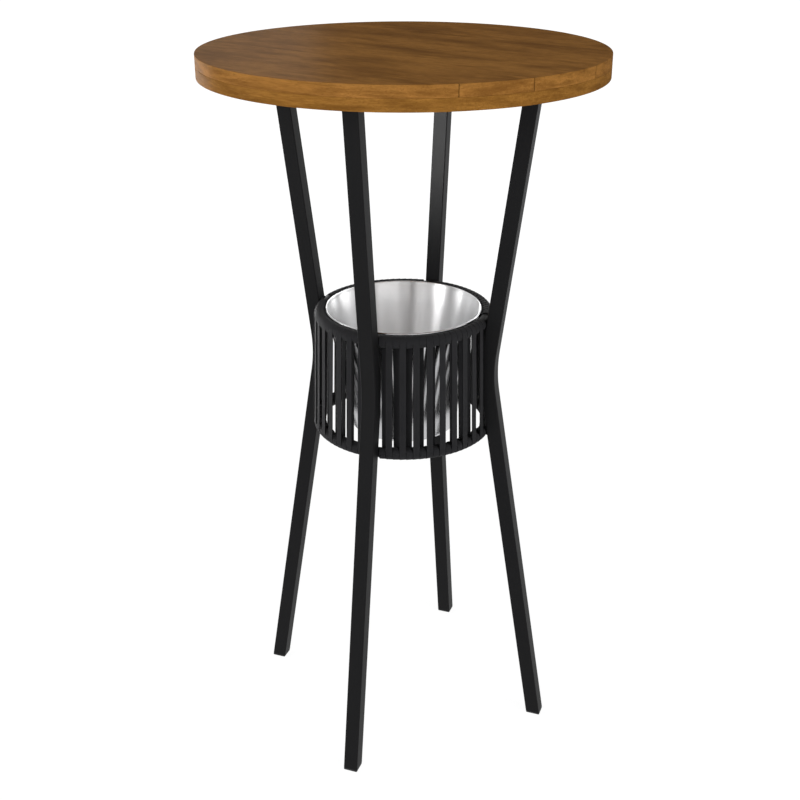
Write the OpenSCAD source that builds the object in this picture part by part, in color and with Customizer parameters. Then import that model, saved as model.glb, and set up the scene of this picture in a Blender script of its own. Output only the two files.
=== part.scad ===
// Bistro table with an ice bucket held in a strap-wound basket.
// Millimetres, +Z up. The origin is on the floor, under the middle of the round top.
// Four bent square-tube legs stand on the X and Y axes: right +X, back +Y, left -X, front -Y.

/* [Tabletop] */
// Diameter of the round top
top_d = 600; // [540:10:700]
// Height of the top's upper face above the floor
table_h = 1120; // [1060:5:1180]
// Thickness of the upper layer of boards
board_t = 17; // [12:0.5:24]
// Thickness of the round panel under the boards
panel_t = 17; // [16:0.5:24]
// Direction of the boards' grain, turned from +X
grain_turn = -15; // [-40:1:40]
// Distance of the first seam in front of the centre
front_seam = 200; // [170:5:230]
// Width of the narrow board behind the first seam
narrow_board_w = 90; // [70:5:110]
// Width of each of the two middle boards
middle_board_w = 130; // [100:5:150]
// Open line between two boards
seam_gap = 1; // [0.4:0.1:2]

/* [Legs] */
// Outer width of the square leg tube
tube_w = 23.5; // [20:0.5:26]
// Wall of the leg tube
tube_wall = 1.5; // [1.2:0.1:2]
// Distance of a foot's centre from the table's axis
foot_r = 245; // [215:1:275]
// Distance from the axis where a leg's two straight lines would cross
waist_r = 141; // [134:1:150]
// Height of that crossing
waist_h = 631; // [600:1:660]
// Distance of a leg's centre from the axis under the panel
leg_top_r = 198.6; // [185:0.2:215]
// Radius of the bend, at the tube's centre line
bend_r = 240; // [150:10:300]

/* [Foot plugs] */
// Thickness of the plug's cap, which stands on the floor
plug_cap = 3; // [2:0.5:5]
// Depth of the plug's shank inside the tube
plug_depth = 14; // [8:1:20]
// Play between the plug's shank and the tube
plug_play = 0.2; // [0.1:0.05:0.4]

/* [Cross frame] */
// Outer width of the square rails under the top
rail_w = 20; // [18:1:25]
// Wall of the rails
rail_wall = 1.5; // [1.2:0.1:2]
// Distance of the inner screws from the axis
inner_screw_r = 60; // [45:5:80]
// Distance of the outer screws from the axis
outer_screw_r = 150; // [130:5:165]
// Diameter of a screw's shank
screw_d = 4; // [3.5:0.5:5]
// Length of a screw under its head
screw_length = 16; // [12:1:16]
// Diameter of a screw's pan head
screw_head_d = 8; // [7:0.5:9]
// Height of a screw's pan head
screw_head_h = 2.6; // [2:0.2:3.2]
// Play between a screw and the hole round it
screw_play = 0.2; // [0.1:0.05:0.5]
// Play round a screw's head in the hole that it goes in by
access_play = 2; // [1:0.5:3]
// Depth of a pilot hole past the screw's tip
pilot_spare = 1; // [0:0.25:1]

/* [Basket rings] */
// Outer diameter of both ring tubes
ring_tube_d = 16; // [13:0.5:17]
// Wall of the ring tubes
ring_wall = 1.5; // [1:0.1:2]
// Height of the upper ring's centre
upper_ring_h = 715; // [700:1:725]
// Height of the lower ring's centre
lower_ring_h = 532; // [520:1:545]
// Gap between a ring and the legs' inner faces, which the weld fills
weld_gap = 0.3; // [0.2:0.1:0.6]

/* [Basket straps] */
// Number of places side by side in one bay between two legs
places = 19; // [15:2:21]
// Thickness of the flat strap
strap_t = 1.4; // [1:0.1:2]
// Gap between neighbouring turns at a ring's inner side
strap_gap = 0.55; // [0.5:0.05:1]
// Gap between the last turn and the leg beside it
strap_leg_gap = 2.3; // [1:0.1:5]
// Play between the strap and the ring tube
strap_play = 0.2; // [0.1:0.05:0.4]

/* [Ice bucket] */
// Height of the bucket
bucket_h = 200; // [180:2:205]
// Outer radius of the bucket's flat base
bucket_base_r = 85; // [75:1:95]
// Thickness of the bucket's sheet
bucket_wall = 1; // [0.6:0.1:1.5]
// Diameter of the rolled rim
rim_d = 3.5; // [3:0.1:5]
// How far the rolled rim's centre lies inside the upper ring's centre line
rim_inset = 9.4; // [8:0.1:10]
// Gap between the rolled rim and the wound ring that it rests on
seat_gap = 0.3; // [0.2:0.1:0.5]
// Radius between the bucket's base and its side
base_round = 9; // [5:0.5:15]

/* [Hidden] */
$fn = 96;

// A little more than nothing, for cuts that run through a face
eps = 0.01;
// Longer than any piece, for half planes
far = 2000;

wood_colour = [0.44, 0.30, 0.15];
frame_colour = [0.13, 0.13, 0.13];
strap_colour = [0.16, 0.16, 0.16];
steel_colour = [0.80, 0.80, 0.80];

panel_top = table_h - board_t;
panel_bottom = panel_top - panel_t;

// Seams, as distances across the grain from the centre line
seams = [
    -front_seam,
    narrow_board_w - front_seam,
    narrow_board_w + middle_board_w - front_seam,
    narrow_board_w + 2 * middle_board_w - front_seam
];

// Leg lines in the leg's own upright plane, as [distance from the axis, height]
foot_point = [foot_r, 0];
waist_point = [waist_r, waist_h];
head_point = [leg_top_r, panel_bottom];
lower_lean = atan2(waist_r - foot_r, waist_h);
upper_lean = atan2(leg_top_r - waist_r, panel_bottom - waist_h);
bend_turn = upper_lean - lower_lean;
bend_steps = 14;

// Distance along each line from the waist to the bend's ends
bend_run = bend_r * tan(bend_turn / 2);
lower_way = [sin(lower_lean), cos(lower_lean)];
lower_out = [cos(lower_lean), -sin(lower_lean)];
bend_start = waist_point - bend_run * lower_way;
bend_centre = bend_start + bend_r * lower_out;

// Radius of the bare inner face of a leg at a height above or below the bend
function upper_face_r(h) = waist_r + (h - waist_h) * tan(upper_lean) - tube_w / 2 / cos(upper_lean);
function lower_face_r(h) = waist_r + (h - waist_h) * tan(lower_lean) - tube_w / 2 / cos(lower_lean);

// Centre-line radii of the rings, which lie against the legs' inner faces
ring_r = ring_tube_d / 2;
upper_ring_r = upper_face_r(upper_ring_h) - (ring_r + weld_gap) / cos(upper_lean);
lower_ring_r = lower_face_r(lower_ring_h) - (ring_r + weld_gap) / cos(lower_lean);

// The strap goes round a ring in flat steps, one turn and a half in each visit
visit_turn = 540;
visit_steps = 13;
step_turn = visit_turn / visit_steps;
// The step of a visit where the strap starts to move to the next place, and the one where it ends
move_from = 5;
move_to = 8;
// Steps of a visit that the strap's free ends have
first_end_step = 7;
last_end_step = 6;

// Radii of the strap's two faces at its corners, round a ring's tube
strap_in = (ring_r + strap_play) / cos(step_turn / 2);
strap_out = strap_in + strap_t;
strap_reach = upper_ring_r + strap_out;
strap_inner_reach = upper_ring_r - strap_out;

// The places fill the bay between two legs
bay = 90;
leg_half_angle = asin((tube_w / 2 + strap_leg_gap) / strap_reach);
gap_angle = strap_gap / strap_inner_reach * 180 / PI;
place_angle = (bay - 2 * leg_half_angle + gap_angle) / places;
strap_half_angle = (place_angle - gap_angle) / 2;

// The rolled rim rests on the inner shoulder of the wound upper ring
rim_r = rim_d / 2;
rim_centre_r = upper_ring_r - rim_inset;
seat_reach = strap_out + rim_r + seat_gap;
rim_centre_h = upper_ring_h + sqrt(seat_reach * seat_reach - rim_inset * rim_inset);
rim_top = rim_centre_h + rim_r;
bucket_bottom = rim_top - bucket_h;
wall_top_r = rim_centre_r - rim_r + bucket_wall;

// Tabletop

// A strip across the grain between two distances from the centre line, as a flat outline
module strip(low, high) {
    rotate(grain_turn)
        translate([-far / 2, low])
            square([far, high - low]);
}

// One board of the round top, between two seams
module board(low, high) {
    color(wood_colour)
        translate([0, 0, panel_top])
            linear_extrude(board_t)
                intersection() {
                    circle(d = top_d);
                    strip(low, high);
                }
}

module front_edge_board() board(-far / 2, seams[0] - seam_gap / 2);
module front_board() board(seams[0] + seam_gap / 2, seams[1] - seam_gap / 2);
module centre_board() board(seams[1] + seam_gap / 2, seams[2] - seam_gap / 2);
module rear_board() board(seams[2] + seam_gap / 2, seams[3] - seam_gap / 2);
module rear_edge_board() board(seams[3] + seam_gap / 2, far / 2);

// Places of the eight screws, two on each arm of the cross frame
module at_screws() {
    for (arm = [0:3])
        for (r = [inner_screw_r, outer_screw_r])
            rotate(arm * bay)
                translate([r, 0, 0])
                    children();
}

// The shank above a rail's upper wall, and the hole for it in the panel
screw_grip = screw_length - rail_wall;
pilot_depth = screw_grip + pilot_spare;

module lower_panel() {
    color(wood_colour)
        difference() {
            translate([0, 0, panel_bottom])
                cylinder(h = panel_t, d = top_d);
            at_screws()
                translate([0, 0, panel_bottom - eps])
                    cylinder(h = pilot_depth + eps, d = screw_d + 2 * screw_play, $fn = 24);
        }
}

// Cross frame

// Rails lie under the panel and stop at the legs' leaning inner faces
rail_bottom = panel_bottom - rail_w;
rail_end_high = upper_face_r(panel_bottom) - weld_gap;
rail_end_low = upper_face_r(rail_bottom) - weld_gap;

// Holes that a screw needs: one round its shank, and a wider one below to put it in
module screw_access() {
    at_screws() {
        translate([0, 0, rail_bottom - eps])
            cylinder(h = rail_w + 2 * eps, d = screw_d + 2 * screw_play, $fn = 24);
        translate([0, 0, rail_bottom - eps])
            cylinder(h = rail_wall + 2 * eps, d = screw_head_d + 2 * access_play, $fn = 32);
    }
}

// A rail's outer body along X, from its outline as seen from the side
module rail(side_profile) {
    translate([0, rail_w / 2, 0])
        rotate([90, 0, 0])
            linear_extrude(rail_w)
                polygon(side_profile);
}

// The hollow along a rail
module rail_bore() {
    translate([-far / 2, rail_wall - rail_w / 2, rail_bottom + rail_wall])
        cube([far, rail_w - 2 * rail_wall, rail_w - 2 * rail_wall]);
}

module long_rail() {
    color(frame_colour)
        difference() {
            rail([
                [-rail_end_high, panel_bottom], [rail_end_high, panel_bottom],
                [rail_end_low, rail_bottom], [-rail_end_low, rail_bottom]
            ]);
            rail_bore();
            screw_access();
        }
}

module short_rail(turn) {
    color(frame_colour)
        rotate(turn)
            difference() {
                rail([
                    [rail_w / 2, panel_bottom], [rail_end_high, panel_bottom],
                    [rail_end_low, rail_bottom], [rail_w / 2, rail_bottom]
                ]);
                rail_bore();
                screw_access();
            }
}

module front_rail() short_rail(-bay);
module back_rail() short_rail(bay);

module rail_screws() {
    color(steel_colour)
        at_screws() {
            translate([0, 0, panel_bottom - rail_wall - screw_head_h])
                cylinder(h = screw_head_h, d = screw_head_d, $fn = 32);
            translate([0, 0, panel_bottom - rail_wall - eps])
                cylinder(h = screw_length + eps, d = screw_d, $fn = 24);
        }
}

// Legs

// One side of a leg's outline, off the centre line by a distance outwards
function leg_side(off) = [
    foot_point + off * lower_out - lower_way * tube_w,
    for (i = [0:bend_steps])
        let (turn = lower_lean + bend_turn * i / bend_steps)
            bend_centre + (off - bend_r) * [cos(turn), -sin(turn)],
    head_point + off * [cos(upper_lean), -sin(upper_lean)] + tube_w * [sin(upper_lean), cos(upper_lean)]
];

function turned(list) = [for (i = [len(list) - 1:-1:0]) list[i]];

// A leg's outline in its plane, taken in by a wall and cut level between two heights
module leg_profile(wall, low, high) {
    half = tube_w / 2 - wall;
    intersection() {
        polygon(concat(leg_side(half), turned(leg_side(-half))));
        translate([0, low])
            square([far, high - low]);
    }
}

// The same outline as a solid, as wide as the tube less its walls
module leg_bar(wall, low, high) {
    depth = tube_w - 2 * wall;
    translate([0, depth / 2, 0])
        rotate([90, 0, 0])
            linear_extrude(depth)
                leg_profile(wall, low, high);
}

module leg(turn) {
    color(frame_colour)
        rotate(turn)
            difference() {
                leg_bar(0, plug_cap, panel_bottom);
                leg_bar(tube_wall, 0, table_h);
            }
}

// A cap of the tube's outline on the floor, with a shank up inside the tube
module foot_plug(turn) {
    color(frame_colour)
        rotate(turn) {
            leg_bar(0, 0, plug_cap);
            leg_bar(tube_wall + plug_play, plug_cap - eps, plug_cap + plug_depth);
        }
}

module right_leg() leg(0);
module back_leg() leg(bay);
module left_leg() leg(2 * bay);
module front_leg() leg(3 * bay);
module right_foot_plug() foot_plug(0);
module back_foot_plug() foot_plug(bay);
module left_foot_plug() foot_plug(2 * bay);
module front_foot_plug() foot_plug(3 * bay);

// Basket rings

module ring(radius, height) {
    color(frame_colour)
        translate([0, 0, height])
            rotate_extrude($fn = 180)
                translate([radius, 0])
                    difference() {
                        circle(d = ring_tube_d, $fn = 48);
                        circle(d = ring_tube_d - 2 * ring_wall, $fn = 48);
                    }
}

module upper_ring() ring(upper_ring_r, upper_ring_h);
module lower_ring() ring(lower_ring_r, lower_ring_h);

// Strap windings
// In each bay one flat strap runs from place to place. It climbs inside the basket, goes one turn
// and a half round the upper ring, comes down outside one place on, and does the same below.

// Four corners of the strap where it lies at an angle round a ring's tube
function corners(radius, height, angle, azimuth) = [
    for (corner = [[strap_in, -1], [strap_out, -1], [strap_out, 1], [strap_in, 1]])
        let (
            r = radius + corner[0] * cos(angle),
            z = height + corner[0] * sin(angle),
            a = azimuth + corner[1] * strap_half_angle
        )
            [r * cos(a), r * sin(a), z]
];

function place_azimuth(place) = bay / 2 + (place - (places - 1) / 2) * place_angle;

// How far the strap has moved to the next place at a step of a visit
function moved(step) = min(max((step - move_from) / (move_to - move_from), 0), 1);

// Corners at one step of a visit, to the upper ring from inside or to the lower one from outside
function visit_corners(upper, step, azimuth) =
    upper
        ? corners(upper_ring_r, upper_ring_h, 180 - step * step_turn, azimuth)
        : corners(lower_ring_r, lower_ring_h, -step * step_turn, azimuth);

// The whole route of one bay, with a strand inside the basket at the first place or outside it
function route(first_inside) = [
    for (step = [first_end_step:visit_steps])
        visit_corners(!first_inside, step, place_azimuth(0)),
    for (place = [0:places - 2])
        let (upper = (place % 2 == 0) == first_inside)
            for (step = [0:visit_steps])
                visit_corners(upper, step, place_azimuth(place + moved(step))),
    for (step = [0:last_end_step])
        visit_corners(first_inside, step, place_azimuth(places - 1))
];

// Two triangles for each of the four sides between one set of corners and the next
function side_faces(sets) = [
    for (i = [0:sets - 2])
        for (k = [0:3])
            let (
                a = 4 * i + k,
                b = 4 * i + (k + 1) % 4,
                c = b + 4,
                d = a + 4
            )
                each [[a, b, c], [a, c, d]]
];

module strap(path) {
    last = 4 * (len(path) - 1);
    polyhedron(
        points = [for (set = path) each set],
        faces = concat(
            [[0, 3, 2], [0, 2, 1]],
            side_faces(len(path)),
            [[last, last + 1, last + 2], [last, last + 2, last + 3]]
        )
    );
}

module winding(turn, first_inside) {
    color(strap_colour)
        rotate(turn)
            strap(route(first_inside));
}

module right_back_winding() winding(0, false);
module back_left_winding() winding(bay, true);
module left_front_winding() winding(2 * bay, false);
module front_right_winding() winding(3 * bay, true);

// Least gap of the strap to itself, between points along its edges, on one loop and the two after it
gap_probes = 4;
gap_loops = 3;
skipped_sets = 4;
near_enough = 30;
loop_sets = 2 * (visit_steps + 1);
probe_route = route(true);
first_probe = visit_steps + 1 - first_end_step;
function probe(i) =
    let (set = floor(i / gap_probes), part = (i % gap_probes) / gap_probes)
        [for (k = [0:3]) probe_route[set][k] * (1 - part) + probe_route[set + 1][k] * part];
last_probe = first_probe + gap_loops * loop_sets;
probe_sets = [for (i = [first_probe * gap_probes:last_probe * gap_probes]) probe(i)];
least_gap = min([
    for (i = [0:loop_sets * gap_probes])
        for (j = [i + skipped_sets * gap_probes:gap_loops * loop_sets * gap_probes])
            if (norm(probe_sets[i][0] - probe_sets[j][0]) < near_enough)
                for (p = probe_sets[i])
                    for (q = probe_sets[j])
                        norm(p - q)
]);
echo(least_gap_of_strap = least_gap);

// Ice bucket

module ice_bucket() {
    slope = (wall_top_r - bucket_base_r) / (rim_centre_h - bucket_bottom);
    outer = [
        [0, bucket_bottom],
        [bucket_base_r, bucket_bottom],
        [wall_top_r, rim_centre_h]
    ];
    inner = [
        [wall_top_r - bucket_wall, rim_centre_h],
        [bucket_base_r - bucket_wall + slope * bucket_wall, bucket_bottom + bucket_wall],
        [0, bucket_bottom + bucket_wall]
    ];
    color(steel_colour)
        rotate_extrude($fn = 180) {
            bucket_section(outer, inner);
            translate([rim_centre_r, rim_centre_h])
                circle(d = rim_d, $fn = 32);
        }
}

// The bucket's sheet in section, with its base's corner rounded inside and outside
module bucket_section(outer, inner) {
    difference() {
        rounded_corner(outer, base_round);
        rounded_corner(turned(inner), base_round - bucket_wall);
    }
}

// A bucket's half section from its axis, base middle, base corner and top, rounded at the base
module rounded_corner(points, radius) {
    lean = atan2(points[2][0] - points[1][0], points[2][1] - points[1][1]);
    run = radius * tan((90 - lean) / 2);
    centre = [points[1][0] - run, points[1][1] + radius];
    steps = 10;
    polygon(concat(
        [points[0]],
        [
            for (i = [0:steps])
                let (turn = -90 + (90 - lean) * i / steps)
                    centre + radius * [cos(turn), sin(turn)]
        ],
        [points[2], [0, points[2][1]]]
    ));
}

front_edge_board();
front_board();
centre_board();
rear_board();
rear_edge_board();
lower_panel();
long_rail();
front_rail();
back_rail();
rail_screws();
right_leg();
back_leg();
left_leg();
front_leg();
right_foot_plug();
back_foot_plug();
left_foot_plug();
front_foot_plug();
upper_ring();
lower_ring();
right_back_winding();
back_left_winding();
left_front_winding();
front_right_winding();
ice_bucket();
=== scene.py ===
# %% [markdown]
# # A bistro table with an ice bucket in a strap-wound basket
# An exact model of the table already exists, with every part in its real place. This lesson dresses
# it: round wooden boards, powder-coated square tube, flat woven strap and a spun steel bucket.
# The model comes in as a fixed frame. Nothing here moves it. Each new piece either covers one part
# of it with a fuller form, or gives a part that stays a finish of its own.

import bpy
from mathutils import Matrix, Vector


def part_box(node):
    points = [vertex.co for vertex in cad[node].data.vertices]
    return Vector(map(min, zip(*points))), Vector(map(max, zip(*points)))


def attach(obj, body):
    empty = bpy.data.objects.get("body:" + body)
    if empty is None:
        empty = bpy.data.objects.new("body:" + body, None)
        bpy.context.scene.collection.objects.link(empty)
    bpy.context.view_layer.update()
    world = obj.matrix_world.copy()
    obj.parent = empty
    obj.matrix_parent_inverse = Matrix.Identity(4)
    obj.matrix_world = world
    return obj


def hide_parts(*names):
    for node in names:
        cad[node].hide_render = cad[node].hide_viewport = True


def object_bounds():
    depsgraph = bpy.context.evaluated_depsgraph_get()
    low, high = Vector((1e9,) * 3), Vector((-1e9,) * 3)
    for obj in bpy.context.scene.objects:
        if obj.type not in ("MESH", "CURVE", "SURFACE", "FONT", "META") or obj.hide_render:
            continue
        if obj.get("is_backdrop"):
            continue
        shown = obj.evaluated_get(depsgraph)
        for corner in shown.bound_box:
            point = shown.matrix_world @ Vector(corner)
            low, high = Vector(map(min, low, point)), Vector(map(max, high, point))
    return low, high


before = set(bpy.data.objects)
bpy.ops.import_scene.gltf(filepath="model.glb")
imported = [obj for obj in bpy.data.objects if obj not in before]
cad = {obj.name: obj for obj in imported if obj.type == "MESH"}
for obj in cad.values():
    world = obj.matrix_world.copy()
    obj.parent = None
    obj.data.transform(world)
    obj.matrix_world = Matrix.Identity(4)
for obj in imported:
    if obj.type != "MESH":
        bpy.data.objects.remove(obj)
cad_low, cad_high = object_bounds()

# %% The other libraries, and millimetres
import math

import bmesh
import bpy
import numpy as np
from mathutils import Matrix, Vector
from mathutils.geometry import tessellate_polygon

MM = 0.001

# %% [markdown]
# ## Sizes that the dressing shares with the construction
# A new piece has to sit exactly where the construction put the plain one. Typing the sizes twice is
# an easy way to get them wrong, so they are read from the boxes round the parts where that is
# possible. Only the leg's lines and the strap's places are repeated, because no box holds them.

# %% Read the shared sizes from the parts' boxes
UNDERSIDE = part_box("lower_panel")[0].z
LAYER_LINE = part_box("lower_panel")[1].z
TABLE_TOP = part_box("centre_board")[1].z
TOP_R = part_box("lower_panel")[1].x

TUBE_W = 2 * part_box("right_leg")[1].y
PLUG_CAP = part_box("right_leg")[0].z


def ring_sizes(name):
    """Centre-line radius, height and tube radius of a ring, from its box."""
    low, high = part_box(name)
    tube_r = (high.z - low.z) / 2
    return high.x - tube_r, (low.z + high.z) / 2, tube_r


UPPER_RING_R, UPPER_RING_H, RING_TUBE_R = ring_sizes("upper_ring")
LOWER_RING_R, LOWER_RING_H, _ = ring_sizes("lower_ring")

BUCKET_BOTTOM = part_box("ice_bucket")[0].z
BUCKET_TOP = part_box("ice_bucket")[1].z
BUCKET_RIM_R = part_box("ice_bucket")[1].x
print(f"top {2 * TOP_R:.3f} m across at {TABLE_TOP:.3f} m, tube {TUBE_W:.4f} m")
print(f"rings {UPPER_RING_R:.4f} and {LOWER_RING_R:.4f} m, bucket rim {BUCKET_RIM_R:.4f} m")

# %% [markdown]
# ## The camera
# The photograph was taken from a little above the top, with a long lens. The camera comes first, so
# that every later piece can be judged against the same picture. Its place, aim and roll were found
# by fitting the outlines of the top, legs and feet. The lens follows from the focal length in
# pixels: sensor width times that length over the picture's width.

# %% Make the camera
CAMERA_PLACE = Vector((0.62183, -1.70845, 1.38452))
CAMERA_AIM = Vector((-0.31423, 0.85497, -0.41267))
CAMERA_ROLL = -0.00135
SENSOR_W = 36
FOCAL_PIXELS = 1219.56
PICTURE_W = 800

aim = CAMERA_AIM.normalized()
level = aim.cross(Vector((0, 0, 1))).normalized()
upright = level.cross(aim)
right = math.cos(CAMERA_ROLL) * level + math.sin(CAMERA_ROLL) * upright
up = right.cross(aim)

lens = bpy.data.cameras.new("camera")
lens.sensor_width = SENSOR_W
lens.lens = SENSOR_W * FOCAL_PIXELS / PICTURE_W
lens.clip_end = 100
camera = bpy.data.objects.new("camera", lens)
turned_to_aim = Matrix((right, up, -aim)).transposed().to_4x4()
camera.matrix_world = Matrix.Translation(CAMERA_PLACE) @ turned_to_aim
bpy.context.scene.collection.objects.link(camera)
bpy.context.scene.camera = camera
print(f"lens {lens.lens:.2f} mm")

# %% [markdown]
# ## Writing node trees as plain arithmetic
# Materials and Geometry Nodes are both node trees. Dozens of lines that make and link Math nodes
# hide the idea behind them, so one small class wraps a socket: `1 - mask` or `grain * 0.3` then
# adds the Math node itself. One method makes every other kind of node, and the nodes that come up
# again and again have a short name of their own.

# %% A socket that can be calculated with
class Wire:
    """An output socket of a tree. Arithmetic on it adds Math nodes."""

    def __init__(self, graph, socket):
        self.graph = graph
        self.socket = socket

    def output(self, name):
        """Another output of the same node."""
        return Wire(self.graph, self.socket.node.outputs[name])

    def math(self, operation, *values):
        return self.graph.math(operation, self, *values)

    def __add__(self, other): return self.math("ADD", other)
    def __radd__(self, other): return self.graph.math("ADD", other, self)
    def __sub__(self, other): return self.math("SUBTRACT", other)
    def __rsub__(self, other): return self.graph.math("SUBTRACT", other, self)
    def __mul__(self, other): return self.math("MULTIPLY", other)
    def __rmul__(self, other): return self.graph.math("MULTIPLY", other, self)
    def __truediv__(self, other): return self.math("DIVIDE", other)
    def __rtruediv__(self, other): return self.graph.math("DIVIDE", other, self)


# %% A tree with one method for any node
class Graph:
    """A node tree, either a material's or a Geometry Nodes one."""

    def __init__(self, tree):
        self.tree = tree
        tree.nodes.clear()

    def node(self, kind, settings=None, sockets=None, out=0):
        """Makes a node, sets it up, fills its sockets and returns one output."""
        made = self.tree.nodes.new(kind)
        for name, value in (settings or {}).items():
            if name == "stops":
                self.set_stops(made.color_ramp, value)
            else:
                setattr(made, name, value)
        for name, value in (sockets or {}).items():
            if isinstance(value, Wire):
                self.tree.links.new(value.socket, made.inputs[name])
            else:
                made.inputs[name].default_value = value
        return Wire(self, made.outputs[out]) if len(made.outputs) else made

    def set_stops(self, ramp, stops):
        while len(ramp.elements) < len(stops):
            ramp.elements.new(0.5)
        for element, (place, grey) in zip(ramp.elements, stops):
            element.position = place
            element.color = (grey, grey, grey, 1)

    def math(self, operation, *values):
        return self.node("ShaderNodeMath", {"operation": operation}, dict(enumerate(values)))

    def object_place(self):
        """Where a point is in its piece's own coordinates, in metres."""
        return self.node("ShaderNodeTexCoord", out="Object")

    def split(self, vector):
        """A vector taken apart. Its outputs are X, Y and Z."""
        return self.node("ShaderNodeSeparateXYZ", {}, {0: vector})

    def joined(self, x=0.0, y=0.0, z=0.0):
        """A vector made of three numbers."""
        return self.node("ShaderNodeCombineXYZ", {}, {0: x, 1: y, 2: z})

    def scaled(self, vector, x, y, z):
        """The vector with each of its three numbers multiplied."""
        settings = {"operation": "MULTIPLY"}
        return self.node("ShaderNodeVectorMath", settings, {0: vector, 1: (x, y, z)})

    def noise(self, vector, detail=2.0, roughness=0.5, seed=0.0):
        """Noise from 0 to 1 whose grains are about 1 apart in the vector."""
        return self.node(
            "ShaderNodeTexNoise",
            {"noise_dimensions": "4D"},
            {"Vector": vector, "W": seed, "Scale": 1.0, "Detail": detail, "Roughness": roughness},
        )

    def ramp(self, value, *stops):
        """A value from 0 to 1 read off a ramp of greys."""
        return self.node("ShaderNodeValToRGB", {"stops": stops}, {"Fac": value})

    def blend(self, factor, first, second):
        """Two colours mixed. Colours are red, green, blue and 1."""
        sockets = {0: factor, 6: first, 7: second}
        return self.node("ShaderNodeMix", {"data_type": "RGBA"}, sockets, out=2)


# %% [markdown]
# A material starts as one Principled shader. Whatever is the same all over the surface is set on
# the shader's own sockets. Only what changes over it is linked, because only that has to be baked
# when the model leaves Blender.

# %% Start a material
def start_material(name, **constants):
    """A material, its graph, and its shader with the constant sockets set."""
    material = bpy.data.materials.new(name)
    material.use_nodes = True
    graph = Graph(material.node_tree)
    shader = graph.node("ShaderNodeBsdfPrincipled").socket.node
    graph.node("ShaderNodeOutputMaterial", {}, {"Surface": Wire(graph, shader.outputs[0])})
    for socket, value in constants.items():
        shader.inputs[socket.replace("_", " ")].default_value = value
    return material, graph, shader


def feed(graph, shader, **wires):
    """Links what changes over the surface to the shader."""
    for socket, wire in wires.items():
        graph.tree.links.new(wire.socket, shader.inputs[socket.replace("_", " ")])


def bumped(graph, height, distance, strength=1.0):
    """A normal that stands out by a distance in metres where the height is 1."""
    sockets = {"Height": height, "Distance": distance, "Strength": strength}
    return graph.node("ShaderNodeBump", {}, sockets)


def colour(red, green, blue):
    """A colour as a picture editor shows it, from 0 to 255, for a shader socket."""
    return tuple(((c / 255 + 0.055) / 1.055) ** 2.4 if c > 10 else c / 255 / 12.92
                 for c in (red, green, blue)) + (1.0,)


# %% [markdown]
# ## Stage and light
# The table stands on a pale floor in soft light, set up in two ways. The lamps and the
# world light a white card to just about white, so colours render as they are written. The white
# background comes from the floor and the world being painted white for the rays that look at them,
# not from more light. The floor keeps a part of its real shading, which is where the shadow shows.
# The lamps do three jobs. Wide ones light wood, strap and coat. Spun metal mirrors its surroundings
# as upright streaks, one for each bright thing round it, so five tall lamps that only gloss can see
# stand where the bucket's streaks ask for them. Two more give the sheen that black surfaces have in
# places. A low one behind the left grazes the basket's left side. For the back leg's upper half it
# is a spotlight, because a plain lamp there would draw another streak in the bucket: its beam is
# squeezed until it meets that leg and nothing else.

# %% The world: a soft fill, white where it is looked at
FILL_LIGHT = 0.375

world = bpy.data.worlds.new("studio")
world.use_nodes = True
bpy.context.scene.world = world
graph = Graph(world.node_tree)


def seen_directly(graph):
    """1 for the rays that look at a thing, through glass or in metal too, and 0 for light."""
    path = graph.node("ShaderNodeLightPath", out="Is Camera Ray")
    mirrored = path.output("Is Glossy Ray").math("MAXIMUM", path.output("Is Transmission Ray"))
    return path.math("MAXIMUM", mirrored)


strength = FILL_LIGHT + (1 - FILL_LIGHT) * seen_directly(graph)
sky = graph.node("ShaderNodeBackground", {}, {"Color": (1, 1, 1, 1), "Strength": strength})
graph.node("ShaderNodeOutputWorld", {}, {"Surface": sky})
print("world fill", FILL_LIGHT)

# %% The floor, which shows its shadow faintly and can be looked through from below
FLOOR_R = 30
FLOOR_GREY, FLOOR_WHITE = 0.88, 1.07
SHADOW_R, CLEAR_R = 0.7, 2.4
SHADOW_SHARE = 0.14

floor_finish = bpy.data.materials.new("pale_floor")
floor_finish.use_nodes = True
graph = Graph(floor_finish.node_tree)
distance = graph.node(
    "ShaderNodeVectorMath", {"operation": "LENGTH"}, {0: graph.object_place()}, out="Value"
)
far_out = graph.node(
    "ShaderNodeMapRange", {"interpolation_type": "SMOOTHSTEP"},
    {"Value": distance, "From Min": SHADOW_R, "From Max": CLEAR_R},
)
white_share = seen_directly(graph) * (1 - SHADOW_SHARE * (1 - far_out))
lit = graph.node("ShaderNodeBsdfDiffuse", {}, {"Color": (FLOOR_GREY,) * 3 + (1,)})
white = graph.node("ShaderNodeEmission", {}, {"Color": (1, 1, 1, 1), "Strength": FLOOR_WHITE})
top_side = graph.node("ShaderNodeMixShader", {}, {0: white_share, 1: lit, 2: white})
underside = graph.node("ShaderNodeNewGeometry", out="Backfacing")
looked_at = graph.node("ShaderNodeLightPath", out="Is Camera Ray")
clear = graph.node("ShaderNodeBsdfTransparent")
sockets = {0: underside * looked_at, 1: top_side, 2: clear}
surface = graph.node("ShaderNodeMixShader", {}, sockets)
graph.node("ShaderNodeOutputMaterial", {}, {"Surface": surface})
print("floor nodes:", len(graph.tree.nodes))

# %% Lay the floor, with helpers that every later mesh goes through
def mesh_of(name, shape):
    """The mesh of a shape that was built with bmesh, which is freed."""
    mesh = bpy.data.meshes.new(name)
    shape.to_mesh(mesh)
    shape.free()
    return mesh


def link_mesh(name, mesh, *materials):
    """An object at the origin for a mesh."""
    for material in materials:
        mesh.materials.append(material)
    made = bpy.data.objects.new(name, mesh)
    bpy.context.scene.collection.objects.link(made)
    return made


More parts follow.
